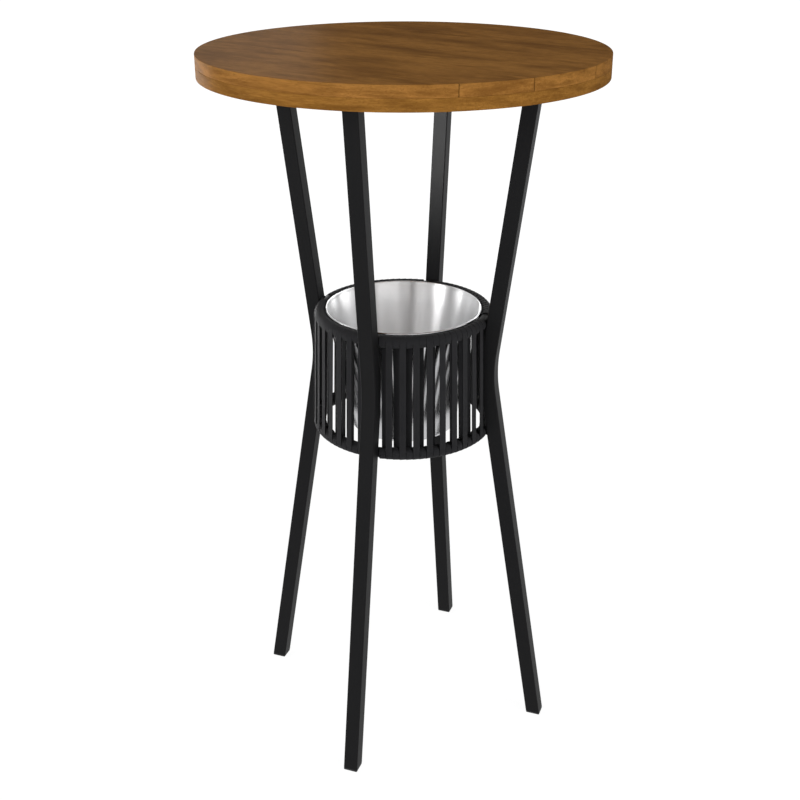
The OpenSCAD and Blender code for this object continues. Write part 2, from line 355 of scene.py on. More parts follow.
sheet = bmesh.new()
bmesh.ops.create_circle(sheet, cap_ends=True, segments=64, radius=FLOOR_R)
floor = link_mesh("floor", mesh_of("floor", sheet), floor_finish)
floor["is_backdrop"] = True
print("floor normal", tuple(floor.data.polygons[0].normal))


# %% Hang a lamp that faces the basket, and make it a soft one
BASKET_PLACE = (0, 0, 0.75)


def hang_lamp(name, kind, place, power, target=BASKET_PLACE):
    """A lamp that faces a target. The camera doesn't see the lamp itself."""
    light = bpy.data.lights.new(name, kind)
    light.energy = power
    lamp = bpy.data.objects.new(name, light)
    lamp.location = place
    lamp.rotation_euler = (Vector(target) - Vector(place)).to_track_quat("-Z", "Y").to_euler()
    lamp.visible_camera = False
    bpy.context.scene.collection.objects.link(lamp)
    return lamp


def soft_lamp(name, place, width, height, power, in_gloss=True, on_matt=True):
    """An area lamp, which can be left out of gloss or of matt surfaces."""
    lamp = hang_lamp(name, "AREA", place, power)
    lamp.data.shape = "RECTANGLE"
    lamp.data.size, lamp.data.size_y = width, height
    lamp.visible_glossy, lamp.visible_diffuse = in_gloss, on_matt


# %% Wide lamps in front, at the right, at the left and behind the left
soft_lamp("front_lamp", (0.1, -3.4, 1.5), 2.2, 2.2, 74, in_gloss=False)
soft_lamp("right_lamp", (3.2, -0.6, 2.2), 1.8, 1.8, 52, in_gloss=False)
soft_lamp("left_lamp", (-3.2, -1.0, 1.3), 1.8, 1.8, 46, in_gloss=False)
soft_lamp("back_left_lamp", (-2.4, 3.4, 1.6), 1.4, 1.4, 34)
print("wide lamps:", [light.name for light in bpy.data.lights])

# %% Tall lamps, which the bucket draws out into streaks: direction in degrees, width and power
STREAK_DISTANCE, STREAK_HEIGHT, STREAK_TALL = 3.4, 2.1, 2.6
STREAK_LAMPS = ((-131, 0.85, 38), (-170, 0.32, 12), (49, 3.0, 52), (-44, 2.2, 14), (-88, 2.3, 6))

for number, (direction, width, power) in enumerate(STREAK_LAMPS):
    turn = math.radians(direction)
    place = (STREAK_DISTANCE * math.cos(turn), STREAK_DISTANCE * math.sin(turn), STREAK_HEIGHT)
    soft_lamp(f"streak_lamp_{number}", place, width, STREAK_TALL, power, on_matt=False)
print(len(STREAK_LAMPS), "streak lamps, towards", [lamp[0] for lamp in STREAK_LAMPS], "degrees")

# %% A low lamp for the sheen on the basket's left side
soft_lamp("low_left_lamp", (-2.94, 1.7, 0.36), 2.0, 0.7, 75, on_matt=False)
print("lamps so far:", len(bpy.data.lights))

# %% A spotlight squeezed to a narrow upright beam, for the sheen on the back leg
BEAM_PLACE, BEAM_TARGET = (-1.23, -3.18, 1.06), (0.03, 0.225, 1.0)
BEAM_POWER, BEAM_LAMP_R = 2960, 0.08
BEAM_CONE, BEAM_NARROW = math.radians(7), 0.2

beam = hang_lamp("leg_beam", "SPOT", BEAM_PLACE, BEAM_POWER, BEAM_TARGET)
beam.data.spot_size, beam.data.spot_blend = BEAM_CONE, 1
beam.data.shadow_soft_size = BEAM_LAMP_R
beam.scale = (BEAM_NARROW, 1, 1)
beam.visible_diffuse = False
beam_reach = (Vector(BEAM_TARGET) - Vector(BEAM_PLACE)).length
beam_tall = 2 * beam_reach * math.tan(BEAM_CONE / 2)
print(f"beam {beam_tall:.2f} m tall and {BEAM_NARROW * beam_tall:.2f} m wide at the leg")

# %% Show colours as they are
bpy.context.scene.view_settings.view_transform = "Standard"
print("view transform:", bpy.context.scene.view_settings.view_transform)

# %% [markdown]
# ## Oiled wood
# The top is brown hardwood with a satin oil finish. A flat photograph of wood wrapped on it would
# slide over the edge, so the grain is a solid pattern: it runs through the board in three
# dimensions. The same figure then shows as soft streaks on top, as fine lines on the rim's long
# sides and as flecks where the rim cuts the fibres.
# The coordinates are turned to the grain first. After that, a noise that is stretched along X makes
# fibres. Six layers add up: slow changes of tone, dark streaks, growth rings, fine fibres, uneven
# patches, and pores, which are short dark dashes that also dent the surface.

# %% Wood as a solid pattern
GRAIN_TURN = math.radians(-15)
TONE_SHARE, RING_SHARE, FIBRE_SHARE = 0.30, 0.24, 0.30
CONTRAST = 0.15


def oiled_wood(name, pale, brown, streak, seed, mottle):
    """Satin oiled wood. Mottle is how uneven its tone is along the grain."""
    material, graph, shader = start_material(
        name, Specular_IOR_Level=0.0, Coat_Weight=0.027, Coat_Roughness=0.3, Coat_IOR=1.5
    )
    sockets = {"Vector": graph.object_place(), "Rotation": (0, 0, -GRAIN_TURN)}
    grain = graph.node("ShaderNodeMapping", {}, sockets)
    board = graph.node("ShaderNodeAttribute", {"attribute_name": "board"}, out="Fac")
    start = board * 3.7 + seed

    wander = graph.noise(graph.scaled(grain, 1.6, 5, 5), 2.0, 0.5, start)
    sideways = graph.joined(y=wander * 0.05, z=wander * 0.03)
    bent = graph.node("ShaderNodeVectorMath", {"operation": "ADD"}, {0: grain, 1: sideways})

    tone = graph.noise(graph.scaled(bent, 1.3, 9, 9), 3.0, 0.55, start)
    streaks = graph.noise(graph.scaled(bent, 7, 28, 110), 4.0, 0.65, start)
    rings = graph.noise(graph.scaled(bent, 12, 150, 330), 3.0, 0.55, start)
    fibres = graph.noise(graph.scaled(bent, 20, 480, 620), 3.0, 0.6, start)
    patches = graph.noise(graph.scaled(grain, 60, 130, 560), 3.0, 0.65, start)
    dashes = graph.noise(graph.scaled(bent, 60, 620, 620), 1.0, 0.5, start)
    pores = graph.ramp(dashes, (0.0, 1.0), (0.33, 1.0), (0.42, 0.0))

    shade = TONE_SHARE * tone + RING_SHARE * rings + FIBRE_SHARE * fibres + mottle * patches
    middle = (TONE_SHARE + RING_SHARE + FIBRE_SHARE + mottle) / 2
    shade = graph.ramp(shade, (middle - CONTRAST, 0.0), (middle + CONTRAST, 1.0))
    base = graph.blend(shade, brown, pale)
    dark = graph.ramp(streaks, (0.34, 1.0), (0.57, 0.0)) * 0.8
    base = graph.blend(dark, base, streak)
    base = graph.blend(pores * 0.4, base, streak)

    rough = 0.40 + 0.12 * fibres + 0.12 * pores
    height = 0.6 * fibres + 0.4 * rings - pores
    feed(graph, shader, Base_Color=base, Roughness=rough,
         Normal=bumped(graph, height, 0.08 * MM, 0.8))
    return material


# %% Three woods: for the boards, for the panel, and a dark one that paints the shade in the open joints
board_wood = oiled_wood(
    "oiled_boards", colour(152, 106, 51), colour(122, 82, 37), colour(98, 63, 25), 1.0, 0.44
)
panel_wood = oiled_wood(
    "oiled_panel", colour(146, 102, 46), colour(112, 75, 30), colour(96, 62, 23), 4.0, 0.42
)
slot_shade_wood = oiled_wood(
    "painted_shade_in_joints", colour(48, 30, 14), colour(36, 22, 10), colour(26, 16, 8), 1.0, 0.24
)
print("wood finishes:", board_wood.name, panel_wood.name, slot_shade_wood.name)

# %% [markdown]
# ## The round top
# Five boards lie side by side on one round panel. On the real table the joints are glued tight, so
# they can't be seen from above. At the rim the wood has shrunk back a little, and each joint opens
# into a fine dark line. So each board is an outline of straight seams and arcs, with a narrow slot
# where a seam meets the rim, and it is pulled up to its thickness. The slot's sides get a dark
# wood, which paints the shade deep in the slot, and a bevel eases the edges along the rim.

# %% Outline of a board between two seams
RIM_STEP = math.radians(1.2)
EASED = 0.45 * MM
JOINT_OPEN, JOINT_DEEP = 0.25 * MM, 3 * MM
TIGHT_GAP = 0.1 * MM
SEAMS = (-0.200, -0.110, 0.020, 0.150)


def rim_arc(start, end):
    """Points along the rim, from one angle to another, against the clock."""
    steps = max(2, math.ceil((end - start) / RIM_STEP))
    turns = [start + (end - start) * i / steps for i in range(steps + 1)]
    return [Vector((TOP_R * math.cos(t), TOP_R * math.sin(t))) for t in turns]


def joint_end(rim_point, seam, inwards):
    """Where a joint opens into a narrow slot, just inside the rim."""
    x = rim_point.x + inwards * JOINT_DEEP
    return [Vector((x, rim_point.y)), Vector((x + inwards * JOINT_OPEN, seam))]


def board_outline(low, high):
    """The part of the round between two distances across the grain, in the grain's frame."""
    low_end, high_end = low + JOINT_OPEN, high - JOINT_OPEN
    first, last = math.asin(max(low_end / TOP_R, -1)), math.asin(min(high_end / TOP_R, 1))
    right_side = rim_arc(first, last)
    left_side = rim_arc(math.pi - last, math.pi - first)
    points = right_side
    if high < TOP_R:
        points += joint_end(right_side[-1], high, -1) + joint_end(left_side[0], high, 1)[::-1]
    points += left_side
    if low > -TOP_R:
        points += joint_end(left_side[-1], low, 1) + joint_end(right_side[0], low, -1)[::-1]
    return [p for i, p in enumerate(points) if (p - points[i - 1]).length > 1e-6]


# %% Turn modifiers into a plain mesh
def settle(piece):
    """Turns a piece's modifiers into its mesh."""
    graph = bpy.context.evaluated_depsgraph_get()
    plain = bpy.data.meshes.new_from_object(
        piece.evaluated_get(graph), preserve_all_data_layers=True, depsgraph=graph
    )
    piece.modifiers.clear()
    piece.data = plain
    return piece


def even_shading(piece):
    """Lets the large faces decide the shading, so that eased edges don't make them look swollen."""
    piece.modifiers.new("even", "WEIGHTED_NORMAL").keep_sharp = True
    return settle(piece)


# %% Pull an outline up into a board
def along_rim(edge):
    """Whether an edge is one of the short level ones that make up the rim."""
    low, high = edge.verts
    on_rim = min(low.co.xy.length, high.co.xy.length) > TOP_R - EASED
    level = abs(low.co.z - high.co.z) < EASED
    return on_rim and level and edge.calc_length() < 2 * RIM_STEP * TOP_R


def board(name, outline, bottom, top, number, material):
    """A flat piece of the top, with its edges along the rim eased."""
    turn = Matrix.Rotation(GRAIN_TURN, 2)
    shape = bmesh.new()
    foot = [shape.verts.new((*(turn @ p), bottom)) for p in outline]
    face = shape.faces.new(foot)
    pulled = bmesh.ops.extrude_face_region(shape, geom=[face])["geom"]
    corners = [part for part in pulled if isinstance(part, bmesh.types.BMVert)]
    bmesh.ops.translate(shape, vec=(0, 0, top - bottom), verts=corners)
    bmesh.ops.recalc_face_normals(shape, faces=shape.faces)
    bmesh.ops.bevel(shape, geom=[e for e in shape.edges if along_rim(e)], offset=EASED,
                    segments=2, profile=0.5, affect="EDGES")
    for f in shape.faces:
        f.smooth = True
        # Faces inside a joint get the dark wood, which paints the shade deep in the slot.
        in_joint = abs(f.normal.z) < 0.1 and f.calc_center_median().xy.length < TOP_R - EASED
        f.material_index = 1 if in_joint else 0
    mesh = mesh_of(name, shape)
    mark = mesh.attributes.new("board", "FLOAT", "POINT")
    mark.data.foreach_set("value", [float(number)] * len(mesh.vertices))
    piece = link_mesh(name, mesh, material, slot_shade_wood)
    mesh.set_sharp_from_angle(angle=math.radians(60))
    return even_shading(piece)


# %% Lay the five boards on the panel
EDGES = (-TOP_R, *SEAMS, TOP_R)
BOARDS = ("front_edge", "front", "centre", "rear", "rear_edge")
for number, name in enumerate(BOARDS):
    low = EDGES[number] + (TIGHT_GAP if number else 0)
    high = EDGES[number + 1] - (TIGHT_GAP if number < len(SEAMS) else 0)
    outline = board_outline(low, high)
    plank = board(f"{name}_plank", outline, LAYER_LINE, TABLE_TOP, number, board_wood)
    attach(plank, "table")
    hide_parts(f"{name}_board")

under = board("under_panel", rim_arc(0, math.tau)[:-1], UNDERSIDE, LAYER_LINE, 0, panel_wood)
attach(under, "table")
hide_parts("lower_panel")
print("boards:", len(BOARDS), "panel faces:", len(under.data.polygons))

# %% [markdown]
# ## Powder coat
# The frame is steel tube under matte black powder. Powder melts into a skin that is not quite flat:
# it has a fine orange-peel texture and tiny lumps. Edges of a real frame wear a little, which shows
# as a slightly paler, smoother black. A flat black would hide the tube's faces, so the finish has
# a weak, wide gloss that picks up the pale room at grazing angles.

# %% Matte black powder coat
COAT_BLACK = colour(12, 12, 13)
COAT_WORN = tuple(1.7 * c for c in COAT_BLACK[:3]) + (1,)

black_coat, graph, shader = start_material("black_powder_coat", Specular_IOR_Level=0.11)
place = graph.object_place()
peel = graph.noise(graph.scaled(place, 900, 900, 900), 2.0, 0.5)
lumps = graph.noise(graph.scaled(place, 2600, 2600, 2600), 1.0, 0.5)
cloud = graph.noise(graph.scaled(place, 9, 9, 9), 3.0, 0.6)
sharpness = graph.node("ShaderNodeNewGeometry", out="Pointiness")
edge = graph.ramp(sharpness, (0.52, 0.0), (0.62, 1.0))
paler = graph.ramp(cloud, (0.35, 0.0), (0.65, 1.0)) * 0.3 + edge * 0.35
feed(graph, shader, Base_Color=graph.blend(paler, COAT_BLACK, COAT_WORN),
     Roughness=0.50 + 0.08 * cloud - 0.06 * edge,
     Normal=bumped(graph, 0.7 * peel + 0.3 * lumps, 0.06 * MM, 0.7))
print("coat nodes:", len(graph.tree.nodes))

# %% [markdown]
# ## A tube bent by a rule
# A leg is one square tube: straight from the foot, one bend at the waist, straight to the top. It
# could be swept along a curve, but a sweep ends square to the tube, and these ends are cut level.
# Geometry Nodes do it the other way round. A straight upright tube with rounded corners is made
# first, with many levels. Then each point is moved outwards to where the bent tube is at that
# height: along the lower line, round the bend, or along the upper line. The angle of the bend is
# clamped to its two ends, and past them the point follows the tangent, so one formula does all
# three stretches. A point further out than the middle of the tube is on a smaller circle.

# %% Helpers for Geometry Nodes trees
SOCKET_KINDS = {
    float: "NodeSocketFloat", int: "NodeSocketInt", bpy.types.Material: "NodeSocketMaterial",
    bpy.types.Object: "NodeSocketObject",
}


def start_tree(name, **kinds):
    """A Geometry Nodes tree with named inputs, the shape it starts from, and a wire from each."""
    tree = bpy.data.node_groups.new(name, "GeometryNodeTree")
    tree.interface.new_socket("Start", in_out="INPUT", socket_type="NodeSocketGeometry")
    tree.interface.new_socket("Made", in_out="OUTPUT", socket_type="NodeSocketGeometry")
    for title, kind in kinds.items():
        tree.interface.new_socket(title, in_out="INPUT", socket_type=SOCKET_KINDS[kind])
    graph = Graph(tree)
    start = graph.node("NodeGroupInput")
    return graph, start, [start.output(title) for title in kinds]


def end_tree(graph, shape, finish):
    """Realizes instances, gives the finish and ends the tree."""
    real = graph.node("GeometryNodeRealizeInstances", {}, {"Geometry": shape})
    finished = graph.node("GeometryNodeSetMaterial", {}, {"Geometry": real, "Material": finish})
    graph.node("NodeGroupOutput", {}, {"Made": finished})
    return graph.tree


def grow(name, tree, start_mesh=None, weigh=True, **values):
    """Runs a tree with its inputs set, and keeps the result as a plain mesh."""
    piece = link_mesh(name, start_mesh or bpy.data.meshes.new(name))
    maker = piece.modifiers.new("make", "NODES")
    maker.node_group = tree
    for item in tree.interface.items_tree:
        if item.name in values:
            maker[item.identifier] = values[item.name]
    return even_shading(piece) if weigh else settle(piece)


# %% Two shapes that the trees share: a rounded outline, and an outline swept along a line
def rounded_outline(graph, width, height, radius, count):
    """A rectangle with rounded corners, each of a few points."""
    kind = "GeometryNodeCurvePrimitiveQuadrilateral"
    outline = graph.node(kind, {}, {"Width": width, "Height": height})
    sockets = {"Curve": outline, "Count": count, "Radius": radius}
    return graph.node("GeometryNodeFilletCurve", {"mode": "POLY"}, sockets)


def swept(graph, line, outline, **scale):
    """An outline swept along a line, with closed ends."""
    sockets = {"Curve": line, "Profile Curve": outline, "Fill Caps": True, **scale}
    return graph.node("GeometryNodeCurveToMesh", {}, sockets)


# %% The tree that makes a bent tube
def bent_tube_tree():
    graph, _, inputs = start_tree(
        "bent_tube", Low=float, High=float, Width=float, Corner=float, Levels=int,
        Centre_R=float, Centre_H=float, Bend=float, Lean_In=float, Lean_Out=float,
        Turn=float, Finish=bpy.types.Material,
    )
    low, high, width, corner, levels, centre_r, centre_h, bend, lean_in, lean_out, *rest = inputs
    turn, finish = rest
    ends = {"Start": graph.joined(z=low), "End": graph.joined(z=high)}
    line = graph.node("GeometryNodeCurvePrimitiveLine", {}, ends)
    line = graph.node("GeometryNodeResampleCurve", {}, {"Curve": line, "Count": levels})
    tube = swept(graph, line, rounded_outline(graph, width, width, corner, 4))

    here = graph.split(graph.node("GeometryNodeInputPosition"))
    height = here.output("Z") - centre_h
    circle = bend - here.output("X")
    sine = (height / circle).math("MAXIMUM", lean_in.math("SINE"))
    sine = sine.math("MINIMUM", lean_out.math("SINE"))
    angle = sine.math("ARCSINE")
    past_bend = (height - circle * sine) * angle.math("TANGENT")
    outwards = centre_r - circle * angle.math("COSINE") + past_bend
    moved = graph.joined(outwards, here.output("Y"), here.output("Z"))
    tube = graph.node("GeometryNodeSetPosition", {}, {"Geometry": tube, "Position": moved})
    sockets = {"Geometry": tube, "Rotation": graph.joined(z=turn)}
    return end_tree(graph, graph.node("GeometryNodeTransform", {}, sockets), finish)


bent_tube = bent_tube_tree()
print("bent tube nodes:", len(bent_tube.nodes))

# %% [markdown]
# The leg's numbers are those of the construction: where the foot stands, where its two straight
# lines would cross, where the head meets the panel, and the radius of the bend. The bend's centre
# follows from them.

# %% Grained black plastic for the plugs
plug_plastic, graph, shader = start_material("black_foot_plastic", Specular_IOR_Level=0.35)
grit = graph.noise(graph.scaled(graph.object_place(), 1500, 1500, 1500), 2.0)
feed(graph, shader, Base_Color=graph.blend(grit, colour(22, 22, 22), colour(34, 34, 34)),
     Roughness=0.45 + 0.2 * grit, Normal=bumped(graph, grit, 0.05 * MM, 0.5))
print("plug plastic nodes:", len(graph.tree.nodes))

# %% The bend's centre and the two leans
FOOT_R = 0.245
WAIST_R, WAIST_H = 0.141, 0.631
HEAD_R = 0.1986
BEND_R = 0.240

lean_in = math.atan2(WAIST_R - FOOT_R, WAIST_H)
lean_out = math.atan2(HEAD_R - WAIST_R, UNDERSIDE - WAIST_H)
bend_run = BEND_R * math.tan((lean_out - lean_in) / 2)
bend_centre_r = WAIST_R - bend_run * math.sin(lean_in) + BEND_R * math.cos(lean_in)
bend_centre_h = WAIST_H - bend_run * math.cos(lean_in) - BEND_R * math.sin(lean_in)
print(f"leans {math.degrees(lean_in):.2f} degrees below, {math.degrees(lean_out):.2f} above")

# %% Make four legs and the plugs in their feet
CORNER_R = 1.7 * MM
LEG_LEVELS = 150
PLUG_LINE = 0.25 * MM
CAP_EASED = 0.6 * MM
SHARP_FROM = math.radians(50)
SIDES = {"right": 0, "back": 1, "left": 2, "front": 3}
leg_sizes = dict(
    Corner=CORNER_R, Centre_R=bend_centre_r, Centre_H=bend_centre_h, Bend=BEND_R,
    Lean_In=lean_in, Lean_Out=lean_out,
)
for side, quarter in SIDES.items():
    turn = quarter * math.pi / 2
    leg = grow(f"{side}_bent_leg", bent_tube, Low=PLUG_CAP + PLUG_LINE, High=UNDERSIDE,
               Width=TUBE_W, Levels=LEG_LEVELS, Turn=turn, Finish=black_coat, **leg_sizes)
    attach(leg, "table")
    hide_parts(f"{side}_leg")

    cap = grow(f"{side}_foot_cap", bent_tube, Low=0.0, High=PLUG_CAP,
               Width=TUBE_W - PLUG_LINE, Levels=2, Turn=turn, Finish=plug_plastic, **leg_sizes)
    ease = cap.modifiers.new("ease", "BEVEL")
    ease.width = CAP_EASED
    ease.segments = 2
    ease.limit_method = "ANGLE"
    ease.angle_limit = SHARP_FROM
    settle(cap)
    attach(cap, "table")
    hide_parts(f"{side}_foot_plug")
print("leg faces:", len(leg.data.polygons), "cap faces:", len(cap.data.polygons))

# %% The rails and rings keep their exact shapes and get the coat
KEPT_PARTS = ("long_rail", "front_rail", "back_rail", "upper_ring", "lower_ring")
for name in KEPT_PARTS:
    cad[name].data.materials.clear()
    cad[name].data.materials.append(black_coat)
print("coated as they are:", ", ".join(KEPT_PARTS))

# %% [markdown]
# ## Weld beads
# The construction leaves thin gaps where the frame is welded. On the real frame a welder ran a bead
# along each of them, and the coat went over it: above and below each ring where it touches a leg,
# round three sides of each rail's end, and up the corners where the short rails meet the long one.
# A bead is a row of small overlapping puddles, so it is a round outline swept along a line, with a
# radius that swells and shrinks every couple of millimetres and fades out at both ends.

# %% The line of a bead on a ring
WELD_GAP = 0.3 * MM
RING_BEAD_R, RAIL_BEAD_R = 2.0 * MM, 1.4 * MM
SUNK = 0.7
RING_BEAD_HALF, RING_BEAD_POINTS = 9.5 * MM, 9


def ring_bead_line(radius, height, lean, above):
    """In the groove between a ring's tube and the leg's inner face, above or below the ring."""
    reach = RING_TUBE_R + WELD_GAP - SUNK * RING_BEAD_R
    rise = math.sqrt((RING_TUBE_R + SUNK * RING_BEAD_R) ** 2 - reach ** 2) * (1 if above else -1)
    for i in range(RING_BEAD_POINTS):
        aside = RING_BEAD_HALF * (2 * i / (RING_BEAD_POINTS - 1) - 1)
        out = radius - aside ** 2 / (4 * radius) + reach * math.cos(lean) + rise * math.sin(lean)
        yield Vector((out, aside, height - reach * math.sin(lean) + rise * math.cos(lean)))


# %% Lines of the beads on the rails
BEAD_SHORT = 2 * MM
rail_low, rail_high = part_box("long_rail")
print(f"rails from {rail_low.z:.3f} to {rail_high.z:.3f} m, beads {BEAD_SHORT / MM:.0f} mm shorter")


def rail_bead_line():
    """Down one side of a rail's end, along under it and up the other side."""
    side = rail_high.y + 0.3 * RAIL_BEAD_R
    low, high = rail_low.z - 0.5 * RAIL_BEAD_R, rail_high.z - BEAD_SHORT
    for aside, height in ((-side, high), (-side, low), (side, low), (side, high)):
        face = rail_high.x + WELD_GAP - (rail_high.z - height) * math.tan(lean_out)
        yield Vector((face - SUNK * RAIL_BEAD_R, aside, height))


def corner_bead_line():
    """Up the corner between a short rail and the long one."""
    side = rail_high.y + 0.4 * RAIL_BEAD_R
    for height in (rail_low.z + BEAD_SHORT, rail_high.z - BEAD_SHORT):
        yield Vector((side, side, height))


# %% Repeat lines in the four quarters
def bead_lines(name, lines):
    """All lines in each of the four quarters, as one mesh of edges."""
    points, edges = [], []
    for quarter in range(4):
        turn = Matrix.Rotation(quarter * math.pi / 2, 3, "Z")
        for line in lines:
            first = len(points)
            points += [turn @ p for p in line]
            edges += [(i, i + 1) for i in range(first, len(points) - 1)]
    mesh = bpy.data.meshes.new(name)
    mesh.from_pydata(points, edges, [])
    return mesh


# %% The tree that runs a bead along each line
def bead_tree():
    graph, start, (radius, puddle, finish) = start_tree(
        "weld_bead", Radius=float, Puddle=float, Finish=bpy.types.Material
    )
    line = graph.node("GeometryNodeMeshToCurve", {}, {"Mesh": start})
    sockets = {"Curve": line, "Length": puddle * 0.2}
    line = graph.node("GeometryNodeResampleCurve", {"mode": "LENGTH"}, sockets)
    along = graph.node("GeometryNodeSplineParameter", out="Length")
    to_end = along.math("MINIMUM", graph.node("GeometryNodeSplineLength") - along)
    swell = 0.84 + 0.16 * (along / puddle * math.pi).math("SINE").math("ABSOLUTE")
    fade = (to_end / radius * 0.7 + 0.3).math("MINIMUM", 1.0)
    sockets = {"Resolution": 12, "Radius": radius}
    outline = graph.node("GeometryNodeCurvePrimitiveCircle", {}, sockets)
    return end_tree(graph, swept(graph, line, outline, Scale=swell * fade), finish)


# %% Weld the rings and the rails
PUDDLE = 1.7 * MM
RINGS = ((UPPER_RING_R, UPPER_RING_H, lean_out), (LOWER_RING_R, LOWER_RING_H, lean_in))
weld_bead = bead_tree()
ring_lines = [list(ring_bead_line(*ring, above)) for ring in RINGS for above in (True, False)]
rail_lines = [list(rail_bead_line()), list(corner_bead_line())]
for name, lines, radius in (
    ("ring_welds", ring_lines, RING_BEAD_R), ("rail_welds", rail_lines, RAIL_BEAD_R),
):
    welds = grow(name, weld_bead, bead_lines(f"{name}_lines", lines), weigh=False,
                 Radius=radius, Puddle=PUDDLE, Finish=black_coat)
    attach(welds, "table")
    print(name, len(welds.data.polygons), "faces")

# %% [markdown]
# ## Woven strap
# The basket is wound with flat black strap, about 10 mm wide. It is woven, so close up it is a grid
# of yarns that pass over and under each other, with a firmer edge on both sides. The pattern has to
# follow the strap round the rings, so it reads a UV map whose numbers are metres along and across
# the strap. A plain weave is a chessboard: on the dark squares the yarn along the strap lies on
# top, and on the light ones the yarn across it. The raised yarns are coloured paler and the low
# parts darker, which paints the shade between the yarns. The firm edges are rubbed a little paler
# and smoother, and outside them the colour goes dark: painted shade, which draws a line between
# turns that touch.

# %% The weave, from metres along and across the strap
STRAP_W = 10.2 * MM
YARN = STRAP_W / 7


def weave(graph, metres):
    """How high a plain weave stands, from 0 to 1, where a map gives metres on the strap."""
    along, across = metres.output("X") / YARN, metres.output("Y") / YARN + 0.5
    square = (along.math("FLOOR") + across.math("FLOOR")).math("MULTIPLY", 0.5).math("FRACT")
    on_top = square.math("GREATER_THAN", 0.25)
    ridge_along = (across.math("FRACT") * math.pi).math("SINE")
    ridge_across = (along.math("FRACT") * math.pi).math("SINE")
    long_yarn = ridge_along * (0.45 + 0.55 * ridge_across)
    cross_yarn = ridge_across * (0.45 + 0.55 * ridge_along)
    return on_top * long_yarn + (1 - on_top) * cross_yarn


# %% Black woven strap
strap_weave, graph, shader = start_material(
    "woven_strap", Specular_IOR_Level=0.08, Sheen_Weight=0.03, Sheen_Roughness=0.5
)
metres = graph.split(graph.node("ShaderNodeUVMap", {"uv_map": "strap"}))
height = weave(graph, metres)
place = graph.object_place()
fuzz = graph.noise(graph.scaled(place, 1800, 1800, 1800), 2.0, 0.6)
dust = graph.noise(graph.scaled(place, 30, 30, 30), 3.0, 0.6)
from_middle = metres.output("Y").math("ABSOLUTE") / (STRAP_W / 2)
edge = graph.ramp(from_middle, (0.72, 0.0), (0.80, 1.0), (0.84, 1.0), (0.90, 0.0))
# Painted shade: past the firm edges the colour goes dark, for the gap between turns that touch.
shade = graph.ramp(from_middle, (0.85, 0.0), (0.96, 1.0))
# Raised yarns are paler and low ones darker, which is painted shade of the weave, plus fuzz, dust
# and rubbed edges.
light = 0.55 * height + 0.2 * fuzz + 0.35 * dust + 0.35 * edge - 0.8 * shade
feed(graph, shader, Base_Color=graph.blend(light, colour(9, 9, 10), colour(40, 40, 42)),
     Roughness=0.62 + 0.2 * fuzz - 0.1 * edge,
     Normal=bumped(graph, height * (1 - 0.5 * edge) + 0.15 * fuzz, 0.3 * MM))
print(f"yarns {YARN / MM:.2f} mm apart, strap nodes: {len(graph.tree.nodes)}")

# %% [markdown]
# ## The strap's route
# In each quarter between two legs runs one unbroken strap. It climbs inside the basket, goes one
# turn and a half round the upper ring, comes down outside one place further on, goes one turn and
# a half round the lower ring, and climbs inside again. Half the places hold an outer strand and
# half an inner one, and the rings are covered all the way.
# The route is a rule, so Python works out its points: a place, and the direction that the strap's
# face points to. Where neighbouring turns crowd together on the inside of a ring, each lies with
# one edge on the next like a roof tile, so the strap is tilted there a little. Hands wind it, so
# each quarter sits a little off its middle, and quarters side by side start on opposite faces.

# %% Places of the strap in a quarter
PLACES = 19
STRAP_T = 1.35 * MM
STRAP_PLAY = 0.35 * MM
LEG_CLEARANCE = 1.5 * MM
VISIT_TURN = math.radians(540)
VISIT_STEPS = 39
STRAND_STEPS = 9
MOVE_FROM, MOVE_TO = 5 / 13, 8 / 13
FIRST_FROM, LAST_TO = 7 / 13, 6 / 13
TILE_TILT = math.radians(7.5)

WRAP_R = RING_TUBE_R + STRAP_PLAY + STRAP_T / 2
bay_half = math.pi / 4 - math.asin((TUBE_W / 2 + LEG_CLEARANCE) / (UPPER_RING_R + WRAP_R))
place_turn = 2 * bay_half / PLACES
place_wide = place_turn * (UPPER_RING_R + WRAP_R)
print(f"a place is {math.degrees(place_turn):.2f} degrees, {place_wide / MM:.1f} mm outside")


# %% A point of the strap on a ring
def place_azimuth(place):
    """Where a place is in a quarter that is wound exactly in the middle."""
    return math.pi / 4 + (place - (PLACES - 1) / 2) * place_turn


def smooth(x):
    """A step from 0 to 1 with soft ends."""
    x = min(max(x, 0), 1)
    return x * x * (3 - 2 * x)


def ring_point(upper, angle, azimuth):
    """A point of the strap's middle line where it lies at an angle round a ring's tube."""
    radius, height = (UPPER_RING_R, UPPER_RING_H) if upper else (LOWER_RING_R, LOWER_RING_H)
    out = Vector((math.cos(azimuth), math.sin(azimuth), 0))
    side = Vector((-math.sin(azimuth), math.cos(azimuth), 0))
    face = math.cos(angle) * out + Vector((0, 0, math.sin(angle)))
    point = radius * out + Vector((0, 0, height)) + WRAP_R * face
    tilt = TILE_TILT * (0.55 - 0.45 * math.cos(angle))
    return point, (math.cos(tilt) * face + math.sin(tilt) * side).normalized()


# %% Round a ring, across to the other, and the whole route of a quarter
def visit(upper, place, first, last):
    """The strap round a ring, for a part of its visit. A whole visit ends one place on."""
    steps = max(2, round(VISIT_STEPS * (last - first)))
    for i in range(steps + 1):
        part = first + (last - first) * i / steps
        moved = smooth((part - MOVE_FROM) / (MOVE_TO - MOVE_FROM)) if last - first == 1 else 0
        angle = (math.pi if upper else 0) - VISIT_TURN * part
        yield ring_point(upper, angle, place_azimuth(place + moved))


def strand(start, end):
    """The straight strap between two rings, without its two ends. It lies flat in the middle."""
    for i in range(1, STRAND_STEPS):
        part = i / STRAND_STEPS
        yield start[0].lerp(end[0], part), start[1].lerp(end[1], part).normalized()


